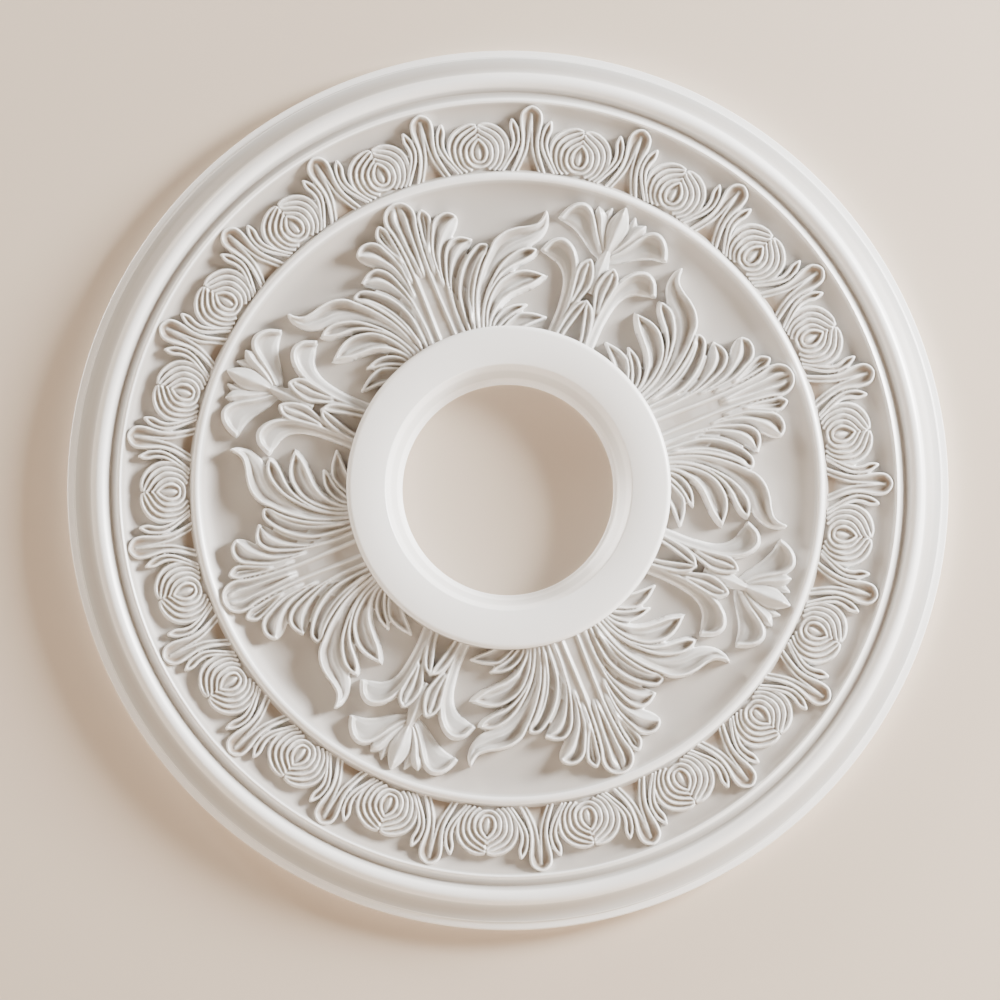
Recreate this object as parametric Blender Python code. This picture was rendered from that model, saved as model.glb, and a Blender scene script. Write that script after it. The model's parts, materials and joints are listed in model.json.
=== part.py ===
"""A round ceiling rose, cast in one piece with its ornament.

The flat back lies in the plane y = 0 and the ornament faces -Y, with +Z up as in a front view.
Every ornament is modelled once, pointing up, and copied round the centre.
Plan positions are (across, out from the centre) and heights are above the flat back.
"""
import math

import bmesh
import bpy
from mathutils import Matrix, Vector
from mathutils.geometry import delaunay_2d_cdt

for ob in list(bpy.data.objects):
    bpy.data.objects.remove(ob, do_unlink=True)

MM = 0.001

# Round body, from the outside in: each ring lies a step inside the one before
OUTER_R = 200.0          # outside radius
RIM_W = 14.0             # outer edge to the crest of the outer moulding
COVE_W = 9.8             # crest to the sharp ring outside the band
SLOPE_W = 9.2            # sharp ring to the ground of the band
BAND_W = 22.0            # ground between the buds
BEAD_STEP = 3.4          # band to the crest of the ring inside it
BEAD_W = 10.6            # that crest to the flat panel with the leaves
HUB_R = 73.6             # wall of the hub
LAND_STEP = 2.4          # rounding between that wall and the flat face of the hub
LAND_W = 15.0            # flat face of the hub
HOLE_R = 48.0            # radius of the hole at its narrow end, by the back
DEPTH = 20.0             # from the flat back to the face of the hub
RIM_H = 8.0              # heights over the back: outer edge,
CREST_H = 16.4           # crest of the outer moulding,
ARRIS_H = 15.2           # sharp ring,
BAND_H = 10.0            # ground of the band,
BEAD_H = 14.8            # ring inside the band,
PANEL_H = 9.0            # and the panel
SEGMENTS = 44            # facets round the body, a multiple of four
CREST_R = OUTER_R - RIM_W
ARRIS_R = CREST_R - COVE_W
BAND_OUT_R = ARRIS_R - SLOPE_W
BAND_IN_R = BAND_OUT_R - BAND_W
BEAD_R = BAND_IN_R - BEAD_STEP
PANEL_R = BEAD_R - BEAD_W
LAND_OUT_R = HUB_R - LAND_STEP
LAND_IN_R = LAND_OUT_R - LAND_W

# Ornament
LEAVES, LEAF_ANGLE = 4, 22.0        # number and first axis, in degrees from +X
FLOWERS, FLOWER_ANGLE = 4, 67.3
BUDS, BUD_ANGLE = 21, 9.3
ROOT_R = 70.0            # where the stalks end, inside the hub
BURY = 2.0               # depth that an ornament goes into the ground under it
SHARP_ANGLE = 20.0       # edges sharper than this are shaded as creases


def profile():
    """Half section of the body as (radius, height) points, once round from the back outside."""
    return [
        (OUTER_R, 0.0), (OUTER_R, RIM_H),
        (OUTER_R - 3.2, RIM_H + 0.2), (OUTER_R - 3.8, RIM_H + 1.0),
        (CREST_R + 6.0, CREST_H - 5.0), (CREST_R + 2.4, CREST_H - 1.6),
        (CREST_R, CREST_H), (CREST_R - 2.8, CREST_H - 1.2), (CREST_R - 5.4, CREST_H - 4.2),
        (ARRIS_R, ARRIS_H), (ARRIS_R - 1.5, ARRIS_H - 2.8),
        (BAND_OUT_R, BAND_H), (BAND_IN_R, BAND_H),
        (BEAD_R + 2.2, BEAD_H - 1.2), (BEAD_R, BEAD_H), (BEAD_R - 3.0, BEAD_H - 2.2),
        (PANEL_R, PANEL_H), (HUB_R, PANEL_H),
        (HUB_R, DEPTH - 2.0), (LAND_OUT_R, DEPTH),
        (LAND_IN_R, DEPTH), (HOLE_R, 0.0),
    ]


def ground(radius):
    """Height of the body's front under a point that is this far from the centre."""
    line = profile()[1:18]
    if radius <= HUB_R:
        return PANEL_H
    for (ra, ha), (rb, hb) in zip(line, line[1:]):
        if rb <= radius <= ra and ra > rb:
            return ha + (hb - ha) * (ra - radius) / (ra - rb)
    return PANEL_H


def place(x, y, h):
    """Plan point and height to a point of the part."""
    return Vector((x * MM, -h * MM, y * MM))


def make(name, bm):
    bmesh.ops.recalc_face_normals(bm, faces=bm.faces)
    mesh = bpy.data.meshes.new(name)
    bm.to_mesh(mesh)
    bm.free()
    ob = bpy.data.objects.new(name, mesh)
    bpy.context.scene.collection.objects.link(ob)
    return ob


def turned(name, section, steps):
    """Closed section of (radius, height) points turned once round the part's axis."""
    bm = bmesh.new()
    verts = [bm.verts.new(place(r, 0.0, h)) for r, h in section]
    edges = [bm.edges.new((a, b)) for a, b in zip(verts, verts[1:] + verts[:1])]
    bmesh.ops.spin(bm, geom=verts + edges, cent=(0, 0, 0), axis=(0, 1, 0),
                   angle=2 * math.pi, steps=steps, use_merge=True)
    bmesh.ops.remove_doubles(bm, verts=bm.verts, dist=1e-6)
    flat = []
    for e in bm.edges:
        a, b = (v.co for v in e.verts)
        level = abs(a.y - b.y) < 1e-7 and abs(math.hypot(a.x, a.z) - math.hypot(b.x, b.z)) > 5 * MM
        turn = math.degrees(math.atan2(a.z, a.x)) % 90.0
        if level and min(turn, 90.0 - turn) > 360.0 / steps * 0.6:
            flat.append(e)
    bmesh.ops.dissolve_edges(bm, edges=flat, use_verts=False)
    return make(name, bm)


def bezier(points, t):
    """Point and direction on the smooth curve that a few points steer."""
    points = [Vector(p) for p in points]
    while len(points) > 2:
        points = [a.lerp(b, t) for a, b in zip(points, points[1:])]
    return points[0].lerp(points[1], t), (points[1] - points[0]).normalized()


def loft(name, rings):
    """Solid through equal rings of points, with a flat cap at each end."""
    bm = bmesh.new()
    rows = [[bm.verts.new(p) for p in ring] for ring in rings]
    for a, b in zip(rows, rows[1:]):
        for i in range(len(a)):
            j = (i + 1) % len(a)
            bm.faces.new((a[i], a[j], b[j], b[i]))
    bm.faces.new(rows[0])
    bm.faces.new(rows[-1])
    return make(name, bm)


def blade(name, steer, stations, rise, hollow=0.0, slope=0.9):
    """Leaf lobe, petal or stalk along a curve in plan.

    A station is (share of the length, half width, share of the rise).
    A hollow blade has two raised rims with a trough between, the others one ridge.
    """
    rings = []
    for t, half, share in stations:
        mid, way = bezier(steer, t)
        side = Vector((way.y, -way.x))
        low = ground(mid.length)
        top = low + rise * share
        foot = half + slope

        def at(offset, h):
            p = mid + side * offset
            return place(p.x, p.y, h)

        if hollow:
            ring = [at(-foot, low - BURY), at(-half, top), at(0.0, top - hollow * share),
                    at(half, top), at(foot, low - BURY)]
        else:
            ring = [at(-foot, low - BURY), at(0.0, top), at(foot, low - BURY)]
        rings.append(ring)
    return loft(name, rings)


def unite(name, pieces):
    """One closed solid from overlapping ones."""
    first, rest = pieces[0], pieces[1:]
    group = bpy.data.collections.new(name + "_pieces")
    for ob in rest:
        group.objects.link(ob)
    mod = first.modifiers.new("unite", "BOOLEAN")
    mod.operation = "UNION"
    mod.operand_type = "COLLECTION"
    mod.collection = group
    mod.solver = "EXACT"
    mod.use_self = False
    mesh = bpy.data.meshes.new_from_object(first.evaluated_get(bpy.context.evaluated_depsgraph_get()))
    for ob in pieces:
        bpy.data.objects.remove(ob, do_unlink=True)
    bpy.data.collections.remove(group)
    bm = bmesh.new()
    bm.from_mesh(mesh)
    bpy.data.meshes.remove(mesh)
    bmesh.ops.remove_doubles(bm, verts=bm.verts, dist=1e-5)
    bmesh.ops.dissolve_degenerate(bm, dist=2e-5, edges=bm.edges)
    return make(name, bm)


# Lobes from an ornament's axis outward: the curve of the lobe from the root to the tip, its half
# width, the share of that left at the tip, the depth of its trough, and the notch after it
LEAF = (
    ([(0, ROOT_R), (0, 139.0)], 6.6, 0.50, 1.9, (6.0, 128.2)),
    ([(2.8, ROOT_R), (5.0, 112), (10.7, 131.5)], 2.7, 0.0, 1.4, (8.2, 115.0)),
    ([(5.0, ROOT_R), (6.5, 106), (22.4, 126.0)], 3.8, 0.50, 1.7, (13.2, 110.6)),
    ([(7.2, ROOT_R), (7.6, 98), (24.6, 113.6)], 3.3, 0.50, 1.6, (9.8, 86.0)),
    ([(9.8, ROOT_R), (14.5, 98), (32.0, 107.0)], 4.2, 0.40, 1.7, (31.6, 101.6)),
    ([(12.0, ROOT_R), (18, 92), (40, 110), (50, 101.0), (62.4, 109.2)], 4.5, 0.0, 1.7, (46.5, 99.2)),
    ([(13.8, ROOT_R - 1), (24, 95), (52.4, 96.2)], 3.0, 0.50, 1.5, (31.6, 88.8)),
    ([(15.6, ROOT_R - 1), (26, 88), (50.6, 85.4)], 3.8, 0.30, 1.7, (24.0, 75.6)),
    ([(17.5, ROOT_R - 2), (26, 77.0), (38.0, 75.4)], 1.9, 0.0, 1.2, (33.4, 72.6)),
    ([(24.0, ROOT_R - 6), (33, 72.0), (43.4, 69.6)], 2.1, 0.0, 1.2, (37.0, 62.5)),
)
PETALS = (
    ([(0, 112.6), (0, 136.8)], 3.6, 0.0, -1.8, (3.9, 130.0)),
    ([(1.2, 112.6), (3.8, 125), (6.4, 134.6)], 1.6, 0.0, 0.0, (7.0, 130.0)),
    ([(1.8, 112.4), (5.6, 122), (11.6, 133.3)], 2.6, 0.0, -0.8, (12.0, 129.6)),
    ([(2.4, 111.6), (12, 121), (19, 132.5), (25.8, 123.2)], 4.0, 0.0, 0.9, (3.6, 112.2)),
)
STALK = (
    ([(5.6, ROOT_R), (5.0, 98), (6.4, 109.8)], 3.2, 0.0, -0.9, (10.0, 104.6)),
    ([(8.4, ROOT_R), (7.4, 101), (12, 116), (27.4, 106.8)], 3.6, 0.0, 0.8, (11.2, 74.0)),
)
CALYX = (
    ([(0, 74.0), (0, 90.8)], 3.4, 0.0, 1.6, (5.4, 76.0)),
)
LEAF_RISE, TIP_RISE = 7.0, 5.4      # ridges at the root and rims at the tips, over the ground
FLOWER_RISE, FLOWER_TIP_RISE = 5.0, 5.6


def nearest(steer, point):
    """Share of a curve's length where it passes closest to a point."""
    return min((k / 40 for k in range(41)), key=lambda t: (bezier(steer, t)[0] - Vector(point)).length)


def lobe_edge(steer, half, tip_share, notch, side):
    """Rim points of one side of a lobe, from just past its notch to the tip."""
    length = (Vector(steer[0]) - Vector(steer[-1])).length
    near, shoulder = nearest(steer, notch), 1 - 0.95 * half / length
    stations = [(0.5 * near + 0.5 * shoulder, 0.92)] if shoulder - near > 0.3 else []
    stations.append((shoulder, 1.0))
    if tip_share:
        stations.append((1 - 0.12 * half / length, tip_share))
    points = []
    for t, share in stations:
        mid, way = bezier(steer, t)
        points.append(mid + Vector((way.y, -way.x)) * half * share * side)
    return points


def relief(name, outline, lines, base, spread=0.5):
    """Closed solid with a faceted front: an outline and inner lines of (x, y, height) points.

    The sides slope out a little and the underside is flat, at the height `base`.
    """
    points = list(outline)
    rows = []
    for line in lines:
        rows.append(list(range(len(points), len(points) + len(line))))
        points += line
    edges = [(row[i], row[i + 1]) for row in rows for i in range(len(row) - 1)]
    plan, _, faces, origin, _, _ = delaunay_2d_cdt(
        [Vector(p[:2]) for p in points], edges, [list(range(len(outline)))], 1, 1e-3)
    heights = [points[o[0]][2] if o else None for o in origin]
    for i, h in enumerate(heights):
        if h is None:
            near = sorted((k for k in range(len(points))), key=lambda k: (Vector(points[k][:2]) - plan[i]).length)
            heights[i] = sum(points[k][2] for k in near[:2]) / 2
    sides = {}
    for face in faces:
        for a, b in zip(face, face[1:] + face[:1]):
            sides[(a, b)] = sides.get((a, b), 0) + 1
    rim = [e for e in sides if (e[1], e[0]) not in sides]
    after = {a: (plan[b] - plan[a]).normalized() for a, b in rim}
    push = {}
    for a, b in rim:
        turn = after[a].x * after[b].y - after[a].y * after[b].x
        out = after[a] + after[b]
        push[b] = Vector((out.y, -out.x)).normalized() * (spread if turn > 0 else 0.0)
    bm = bmesh.new()
    top = [bm.verts.new(place(p.x, p.y, h)) for p, h in zip(plan, heights)]
    foot = []
    for k, p in enumerate(plan):
        q = p + push.get(k, Vector((0, 0)))
        foot.append(bm.verts.new(place(q.x, q.y, base)))
    for face in faces:
        bm.faces.new([top[k] for k in face])
        bm.faces.new([foot[k] for k in reversed(face)])
    for a, b in rim:
        bm.faces.new((top[b], top[a], foot[a], foot[b]))
    bmesh.ops.dissolve_limit(bm, angle_limit=0.001, verts=[v for v in foot if v.is_valid],
                             edges=[e for e in bm.edges if e.verts[0] in foot and e.verts[1] in foot])
    return make(name, bm)


def over(point, rise):
    """Plan point with the height of the ground under it and a rise over that."""
    x, y = point
    return (x, y, ground(math.hypot(x, y)) + rise)


def flipped(point):
    return (-point[0], point[1])


def fan(name, lobes, first, root_rise, tip_rise, base=PANEL_H - BURY, spread=0.5):
    """Relief of lobes side by side, in order, each with its own rims and trough.

    Neighbours share the ridge that runs from the notch between them to the root.
    """
    order = []
    for steer, wide, tip, trough, notch in lobes:
        order.append((steer, wide, tip, trough, order[-1][5] if order else first, notch))
    outline, lines = [], []
    for k, (steer, wide, tip, trough, left, right) in enumerate(order):
        outline.append(over(left, root_rise - 1.8))
        outline += [over(p, tip_rise) for p in lobe_edge(steer, wide, tip, left, -1)]
        if not tip:
            outline.append(over(steer[-1], tip_rise))
        outline += [over(p, tip_rise) for p in lobe_edge(steer, wide, tip, right, 1)][::-1]
        middle = []
        for t in (0.34, 0.84) if wide > 3 else (0.8,):
            middle.append(over(bezier(steer, t)[0], root_rise + (tip_rise - root_rise) * t - trough))
        lines.append(middle)
    outline.append(over(order[-1][5], root_rise - 1.8))
    for one, two in zip(order, order[1:]):
        reach = [bezier(o[0], nearest(o[0], one[5]) * 0.55)[0] for o in (one, two)]
        start = (Vector(one[0][0]) + Vector(two[0][0])) / 2
        lines.append([over(start + Vector((0, 0.6)), root_rise), over((reach[0] + reach[1]) / 2, root_rise),
                      over(one[5], root_rise - 1.8)])
    for steer in (order[-1][0], order[0][0]):
        outline.append(over(Vector(steer[0]) - Vector((0, 1.0)), root_rise))
    return relief(name, outline, lines, base, spread)


def both_ways(lobes):
    """Lobes of a whole ornament from those of its axis and right half, and its first end."""
    left = []
    for (steer, wide, tip, trough, _), (*_, notch) in list(zip(lobes[1:], lobes))[::-1]:
        left.append(([flipped(p) for p in steer], wide, tip, trough, flipped(notch)))
    return left + list(lobes), flipped(lobes[-1][-1])


def leaf():
    """Spreading acanthus leaf: a crown, three lobes each side of it, and a wing each side."""
    lobes, first = both_ways(LEAF)
    return fan("leaf", lobes, first, LEAF_RISE, TIP_RISE)


def flower():
    """Lily on a forked stalk, with two curled petals and two curled leaves."""
    lobes, first = both_ways(PETALS)
    pieces = [
        fan("petals", lobes, first, FLOWER_RISE, FLOWER_TIP_RISE, spread=0.2),
        fan("stalk_right", STALK, (3.4, 82.0), FLOWER_RISE, FLOWER_TIP_RISE, PANEL_H - BURY + 0.2),
        fan("calyx", CALYX, flipped(CALYX[-1][-1]), FLOWER_RISE, FLOWER_RISE, PANEL_H - BURY + 0.4),
        blade("neck", [(0, 96.0), (0, 115.0)], [(0, 1.0, 0.6), (0.6, 2.6, 0.8), (1, 1.2, 0.8)], 5.0),
    ]
    left = [([flipped(p) for p in s], w, t, d, flipped(n)) for (s, w, t, d, _), (*_, n) in
            zip(STALK[::-1], [STALK[0], ((3.4, 82.0),)])]
    pieces.append(fan("stalk_left", left, flipped(STALK[-1][-1]), FLOWER_RISE, FLOWER_TIP_RISE, PANEL_H - BURY + 0.3))
    return unite("flower", pieces)


def band_point(u, out, h):
    """Point of the band: distance along the arc at its middle, distance out from its inner edge, height."""
    a = u / ((BAND_IN_R + BAND_OUT_R) / 2)
    v = BAND_IN_R + out
    return (v * math.sin(a), v * math.cos(a), BAND_H + h)


def bud():
    """Drop-shaped bud: a raised ring, a trough inside it and a core."""
    half_width, outer, inner = 13.4, 12.0, 9.6
    middle = 9.8

    def ring(size, corners, h):
        turns = [2 * math.pi * i / corners for i in range(corners)]
        return [band_point(half_width * math.sin(a) * size,
                           middle + math.cos(a) * size * (outer if math.cos(a) > 0 else inner), h) for a in turns]

    trough = ring(0.55, 4, 2.0)
    return relief("bud", ring(0.98, 8, 3.2)[::-1],
                  [trough + trough[:1], [band_point(0.0, middle - 1.0, 5.0)]], BAND_H - BURY)


def tongue():
    """Hollow tongue between two buds, spreading at its foot."""
    left = [(-5.4, 1.2, 1.6), (-3.5, 9.0, 4.0), (-3.9, 24.0, 5.0), (-2.0, 28.4, 5.2)]
    trough = [(0.0, 3.2, 1.2), (0.0, 10.0, 2.2), (0.0, 24.6, 3.4)]
    right = [(-x, out, h) for x, out, h in left]
    outline = [(x, BAND_IN_R + out, BAND_H + h) for x, out, h in right + left[::-1]]
    return relief("tongue", outline, [[(x, BAND_IN_R + out, BAND_H + h) for x, out, h in trough]], BAND_H - BURY)


def dart(side):
    """Small pointed leaflet between a bud and the tongue on one side of it."""
    outline = [band_point(side * 11.0, 1.4, 0.6), band_point(side * 17.4, 12.0, 1.4),
               band_point(side * 15.4, 22.6, 1.8)]
    ridge = [band_point(side * 15.2, 13.0, 3.6)]
    return relief("dart", outline if side < 0 else outline[::-1], [ridge], BAND_H - BURY)


def spun(source, count, first):
    """Copies of an ornament that points up, with the first axis at an angle from +X."""
    copies = []
    for k in range(count):
        turn = math.radians(first - 90.0 + 360.0 / count * k)
        ob = bpy.data.objects.new(f"{source.name}_{k}", source.data.copy())
        ob.data.transform(Matrix.Rotation(-turn, 4, "Y"))
        bpy.context.scene.collection.objects.link(ob)
        copies.append(ob)
    bpy.data.objects.remove(source, do_unlink=True)
    return copies


def white_cast():
    """Primed white finish of a moulded ornament."""
    mat = bpy.data.materials.new("white_cast")
    mat.use_nodes = True
    shader = mat.node_tree.nodes["Principled BSDF"]
    shader.inputs["Base Color"].default_value = (0.82, 0.81, 0.78, 1.0)
    shader.inputs["Roughness"].default_value = 0.5
    shader.inputs["Metallic"].default_value = 0.0
    return mat


body = turned("body", profile(), SEGMENTS)
parts = spun(leaf(), LEAVES, LEAF_ANGLE)
parts += spun(flower(), FLOWERS, FLOWER_ANGLE)
parts += spun(bud(), BUDS, BUD_ANGLE)
parts += spun(tongue(), BUDS, BUD_ANGLE + 180.0 / BUDS)
parts += spun(dart(-1), BUDS, BUD_ANGLE) + spun(dart(1), BUDS, BUD_ANGLE)

rose = unite("ceiling_rose", [body] + parts)
rose.data.materials.clear()
rose.data.materials.append(white_cast())
for poly in rose.data.polygons:
    poly.material_index = 0
rose.data.shade_smooth()
rose.data.set_sharp_from_angle(angle=math.radians(SHARP_ANGLE))
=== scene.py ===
# %% [markdown]
# # A moulded ceiling rose
# A ceiling rose hides the place where a lamp's cable leaves the ceiling. This one is cast in one piece
# from a white foam that sets hard, in a mould taken from a carved original. So everything on it is one
# soft-edged white skin: a turned body with rings, and ornament that grows out of it.
# We build the body on a lathe, so to speak, and each ornament from strokes, as a carver would cut it.

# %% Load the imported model
import json
import math

import bpy
import numpy as np
from mathutils import Matrix, Vector

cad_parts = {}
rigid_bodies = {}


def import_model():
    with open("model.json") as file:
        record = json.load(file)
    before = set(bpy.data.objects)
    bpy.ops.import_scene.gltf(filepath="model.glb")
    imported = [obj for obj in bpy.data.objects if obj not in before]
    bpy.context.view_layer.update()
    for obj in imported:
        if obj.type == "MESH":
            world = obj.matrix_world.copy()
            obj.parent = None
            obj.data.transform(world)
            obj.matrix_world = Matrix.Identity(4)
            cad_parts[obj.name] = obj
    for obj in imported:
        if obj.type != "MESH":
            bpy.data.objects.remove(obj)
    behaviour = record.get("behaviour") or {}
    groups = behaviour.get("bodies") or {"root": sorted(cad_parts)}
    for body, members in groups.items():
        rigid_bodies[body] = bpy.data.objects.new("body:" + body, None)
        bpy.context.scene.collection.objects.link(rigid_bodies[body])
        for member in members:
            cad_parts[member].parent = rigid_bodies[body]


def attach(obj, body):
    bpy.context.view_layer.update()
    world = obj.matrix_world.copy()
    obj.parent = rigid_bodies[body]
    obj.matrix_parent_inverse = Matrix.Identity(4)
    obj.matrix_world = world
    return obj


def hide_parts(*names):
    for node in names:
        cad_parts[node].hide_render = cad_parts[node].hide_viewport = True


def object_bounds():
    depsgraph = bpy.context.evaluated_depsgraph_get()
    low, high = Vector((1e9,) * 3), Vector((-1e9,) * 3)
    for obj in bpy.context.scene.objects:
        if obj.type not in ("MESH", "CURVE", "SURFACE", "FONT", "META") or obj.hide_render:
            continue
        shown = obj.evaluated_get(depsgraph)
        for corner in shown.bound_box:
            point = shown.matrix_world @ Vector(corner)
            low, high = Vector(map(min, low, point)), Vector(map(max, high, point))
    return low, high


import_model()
cad_low, cad_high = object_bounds()
MM = 0.001
OUTER_R = cad_high.x / MM       # outside radius of the rose
FACE_H = -cad_low.y / MM        # the hub's face over the flat back
print("radius", round(OUTER_R, 1), "mm, depth", round(FACE_H, 1), "mm")

# %% [markdown]
# ## Rings
# Seen in section the body is one line: edge, outer moulding, a valley, a sharp ring, the band, a bead,
# the flat panel, the hub and its bore. The line could be drawn as a curve and screwed round, or traced
# as a chain of points and spun. We trace it with the extrude operator and spin it, as the two
# operators are the ones that a turned shape needs most often.

# %% Section of the body
CREST_R, ARRIS_R = OUTER_R - 14.0, OUTER_R - 23.8
BAND_OUT_R, BAND_IN_R = OUTER_R - 33.0, OUTER_R - 55.0
BEAD_R, PANEL_R, HUB_R, HOLE_R = OUTER_R - 58.4, OUTER_R - 71.0, 73.6, 48.0
RIM_H, BAND_H, PANEL_H = 8.0, 10.0, 9.0
CREST_H, ARRIS_H, BEAD_H = 16.4, 15.2, 14.8


def section_line():
    """Half section of the body as (radius, height) points, in millimetres, from the back outside."""
    edge = [(OUTER_R, 0.0), (OUTER_R, RIM_H - 0.8), (OUTER_R - 0.25, RIM_H - 0.2), (OUTER_R - 0.8, RIM_H),
            (OUTER_R - 2.7, RIM_H + 0.05), (OUTER_R - 3.05, RIM_H + 0.25), (OUTER_R - 3.4, RIM_H + 1.0)]
    cove = [(CREST_R + 10.0, CREST_H - 7.2), (CREST_R + 8.0, CREST_H - 6.6), (CREST_R + 6.0, CREST_H - 5.5),
            (CREST_R + 4.4, CREST_H - 3.9), (CREST_R + 3.4, CREST_H - 2.4), (CREST_R + 2.6, CREST_H - 1.3)]
    crest = [(CREST_R + 1.5, CREST_H - 0.4), (CREST_R + 0.4, CREST_H), (CREST_R - 1.0, CREST_H - 0.1),
             (CREST_R - 2.3, CREST_H - 0.7), (CREST_R - 3.5, CREST_H - 1.8), (CREST_R - 4.6, CREST_H - 3.1),
             (CREST_R - 5.3, CREST_H - 4.1), (CREST_R - 5.6, CREST_H - 4.3)]
    arris = [(ARRIS_R + 3.2, ARRIS_H - 2.6), (ARRIS_R + 1.8, ARRIS_H - 1.2), (ARRIS_R + 0.8, ARRIS_H - 0.3),
             (ARRIS_R + 0.2, ARRIS_H), (ARRIS_R - 0.4, ARRIS_H - 0.2), (ARRIS_R - 1.0, ARRIS_H - 1.1),
             (ARRIS_R - 1.9, ARRIS_H - 2.4), (ARRIS_R - 3.6, ARRIS_H - 3.7), (ARRIS_R - 5.8, ARRIS_H - 4.6),
             (ARRIS_R - 8.2, BAND_H + 0.1)]
    band = [(BAND_OUT_R - 1.0, BAND_H), (BAND_IN_R + 1.0, BAND_H), (BAND_IN_R + 0.2, BAND_H + 0.3)]
    bead = [(BEAD_R + 3.0, BEAD_H - 3.2), (BEAD_R + 2.5, BEAD_H - 1.9), (BEAD_R + 1.7, BEAD_H - 0.8),
            (BEAD_R + 0.8, BEAD_H - 0.15), (BEAD_R - 0.1, BEAD_H), (BEAD_R - 1.0, BEAD_H - 0.4),
            (BEAD_R - 2.0, BEAD_H - 1.3), (BEAD_R - 3.4, BEAD_H - 2.6), (BEAD_R - 5.4, BEAD_H - 3.9),
            (BEAD_R - 7.8, BEAD_H - 4.9), (BEAD_R - 10.6, BEAD_H - 5.5)]
    panel = [(PANEL_R - 2.0, PANEL_H), (HUB_R + 1.0, PANEL_H), (HUB_R + 0.3, PANEL_H + 0.15)]
    hub = [(HUB_R, PANEL_H + 0.8), (HUB_R, FACE_H - 2.6), (HUB_R - 0.2, FACE_H - 1.4),
           (HUB_R - 0.8, FACE_H - 0.5), (HUB_R - 1.6, FACE_H - 0.1), (HUB_R - 2.4, FACE_H),
           (HOLE_R + 8.3, FACE_H)]
    bore = [(HOLE_R + 8.0, FACE_H - 0.12), (HOLE_R + 7.7, FACE_H - 0.45), (HOLE_R + 7.4, FACE_H - 1.1),
            (HOLE_R + 5.0, FACE_H - 7.4), (HOLE_R + 2.9, FACE_H - 12.8), (HOLE_R + 1.5, 2.8),
            (HOLE_R + 1.0, 2.0), (HOLE_R + 0.3, 1.6), (HOLE_R, 1.0), (HOLE_R, 0.0)]
    return edge + cove + crest + arris + band + bead + panel + hub + bore


print(len(section_line()), "points in the section")

# %% Selecting


def deselect():
    """Nothing selected, in object mode."""
    if bpy.context.object and bpy.context.object.mode != "OBJECT":
        bpy.ops.object.mode_set(mode="OBJECT")
    bpy.ops.object.select_all(action="DESELECT")


def pick(*objects):
    """Only these objects selected, the first one active."""
    deselect()
    for ob in objects:
        ob.select_set(True)
    bpy.context.view_layer.objects.active = objects[0]


deselect()
print(len(bpy.context.selected_objects), "objects selected")

# %% Turn the body
BODY_STEPS = 288            # faces round the body
CREASE = 38.0               # degrees; a sharper edge of the body stays crisp
SAME = 1e-6                 # metres; closer points are one


def turned_body(steps):
    """The section traced point by point and spun once round the Y axis."""
    line = [Vector((r * MM, -h * MM, 0.0)) for r, h in section_line()]
    deselect()
    bpy.ops.mesh.primitive_plane_add(size=MM, location=line[0])
    body = bpy.context.object
    body.name = "rose_body"
    bpy.ops.object.transform_apply(location=True, rotation=False, scale=False)
    bpy.ops.object.mode_set(mode="EDIT")
    bpy.ops.mesh.select_all(action="SELECT")
    bpy.ops.mesh.merge(type="CENTER")
    for a, b in zip(line, line[1:]):
        bpy.ops.mesh.extrude_region_move(TRANSFORM_OT_translate={"value": b - a})
    bpy.ops.mesh.select_all(action="SELECT")
    bpy.ops.mesh.spin(steps=steps, angle=2 * math.pi, center=(0, 0, 0), axis=(0, 1, 0))
    bpy.ops.mesh.select_all(action="SELECT")
    bpy.ops.mesh.remove_doubles(threshold=SAME)
    bpy.ops.mesh.select_all(action="DESELECT")
    bpy.ops.mesh.select_non_manifold()
    bpy.ops.mesh.bridge_edge_loops()
    bpy.ops.mesh.select_all(action="SELECT")
    bpy.ops.mesh.normals_make_consistent(inside=False)
    bpy.ops.object.mode_set(mode="OBJECT")
    bpy.ops.object.shade_smooth_by_angle(angle=math.radians(CREASE))
    return body


body = turned_body(BODY_STEPS)
print("body:", len(body.data.polygons), "faces")

# %% [markdown]
# ## Strokes
# A carver cuts acanthus in strokes: each lobe of a leaf is one pull of a gouge between two raised
# rims. We make a stroke the same way. Two lines, from root to tip, are its rims. A grid primitive is
# laid between them, hollowed by a formula, given sloping sides, and extruded into the ground. The
# alternatives are sculpting, which a script can't repeat, and a height picture, which would give
# jagged sides.

# %% Lines and sections


def smooth_line(points, count):
    """Evenly spaced points on a smooth line through the given ones."""
    p = np.array(points, float)
    p = np.vstack([2 * p[0] - p[1], p, 2 * p[-1] - p[-2]])
    u = np.linspace(0, 1, 16, endpoint=False)[:, None]
    out = []
    for a, b, c, d in zip(p, p[1:], p[2:], p[3:]):
        ab, bc, cd = (max(np.linalg.norm(q - r), 1e-6) ** 0.5 for q, r in ((b, a), (c, b), (d, c)))
        start = (b - a) / ab - (c - a) / (ab + bc) + (c - b) / bc
        stop = (c - b) / bc - (d - b) / (bc + cd) + (d - c) / cd
        start, stop = start * bc, stop * bc
        out.append((2 * u**3 - 3 * u**2 + 1) * b + (u**3 - 2 * u**2 + u) * start
                   + (3 * u**2 - 2 * u**3) * c + (u**3 - u**2) * stop)
    out = np.vstack(out + [p[-2][None]])
    return even(out, np.linspace(0, 1, count))


def even(line, shares):
    """Points of a line at shares of its length."""
    run = np.concatenate([[0], np.cumsum(np.linalg.norm(np.diff(line, axis=0), axis=1))])
    return np.stack([np.interp(shares * run[-1], run, line[:, k]) for k in (0, 1)], axis=1)


def eased(stations, x):
    """Value of a smooth curve through (place, value) stations."""
    places, values = np.array(stations, float).T
    k = np.clip(np.searchsorted(places, x) - 1, 0, len(places) - 2)
    u = np.clip((x - places[k]) / (places[k + 1] - places[k]), 0, 1)
    u = u * u * (3 - 2 * u)
    return values[k] * (1 - u) + values[k + 1] * u


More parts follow.
